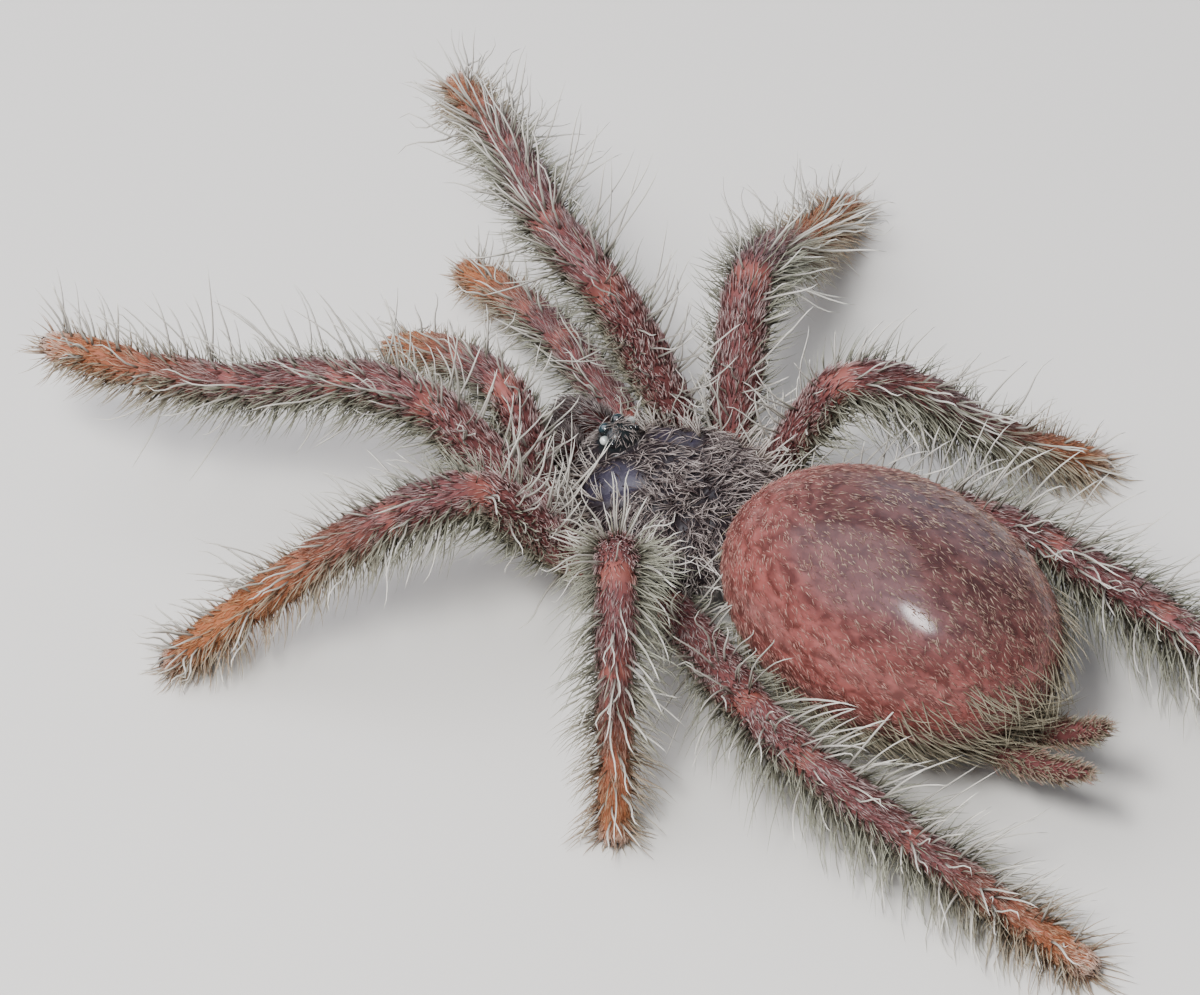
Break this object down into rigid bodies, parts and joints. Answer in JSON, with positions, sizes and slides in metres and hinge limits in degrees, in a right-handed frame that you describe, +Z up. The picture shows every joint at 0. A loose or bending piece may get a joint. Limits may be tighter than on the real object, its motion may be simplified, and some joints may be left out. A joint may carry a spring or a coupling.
{
  "type": "young tarantula",
  "caption": "Still, life-size young tarantula: swollen red-brown abdomen, hairy legs, the front ones raised and the rest standing.",
  "frame": {"origin": "on the floor under the middle of the animal's outline box", "axes": "+Z up; the head faces -Y; the animal's left side is +X"},
  "size_m": [0.0196, 0.025, 0.0058],
  "materials": {
    "leg_coat": "short red-brown hair over skin",
    "abdomen_coat": "taut satin red-brown skin under thin hair",
    "carapace_shell": "near-black polished shell with pale hairs",
    "jaw_coat": "dark brown hairy skin",
    "fang_horn": "glossy black",
    "eye_lens": "wet black gloss"
  },
  "bodies": {
    "root": {"carapace": "carapace_shell", "sternum": "leg_coat", "pedicel": "leg_coat", "abdomen": "abdomen_coat", "chelicera_left": "jaw_coat", "chelicera_right": "jaw_coat", "fang_left": "fang_horn", "fang_right": "fang_horn", "spinneret_left": "leg_coat", "spinneret_right": "leg_coat", "eye_median_front_left": "eye_lens", "eye_median_front_right": "eye_lens", "eye_side_front_left": "eye_lens", "eye_side_front_right": "eye_lens", "eye_side_rear_left": "eye_lens", "eye_side_rear_right": "eye_lens", "eye_median_rear_left": "eye_lens", "eye_median_rear_right": "eye_lens", "leg_1_left": "leg_coat", "leg_1_right": "leg_coat", "leg_2_left": "leg_coat", "leg_2_right": "leg_coat", "leg_3_left": "leg_coat", "leg_3_right": "leg_coat", "leg_4_left": "leg_coat", "leg_4_right": "leg_coat", "palp_left": "leg_coat", "palp_right": "leg_coat"}
  },
  "joints": []
}
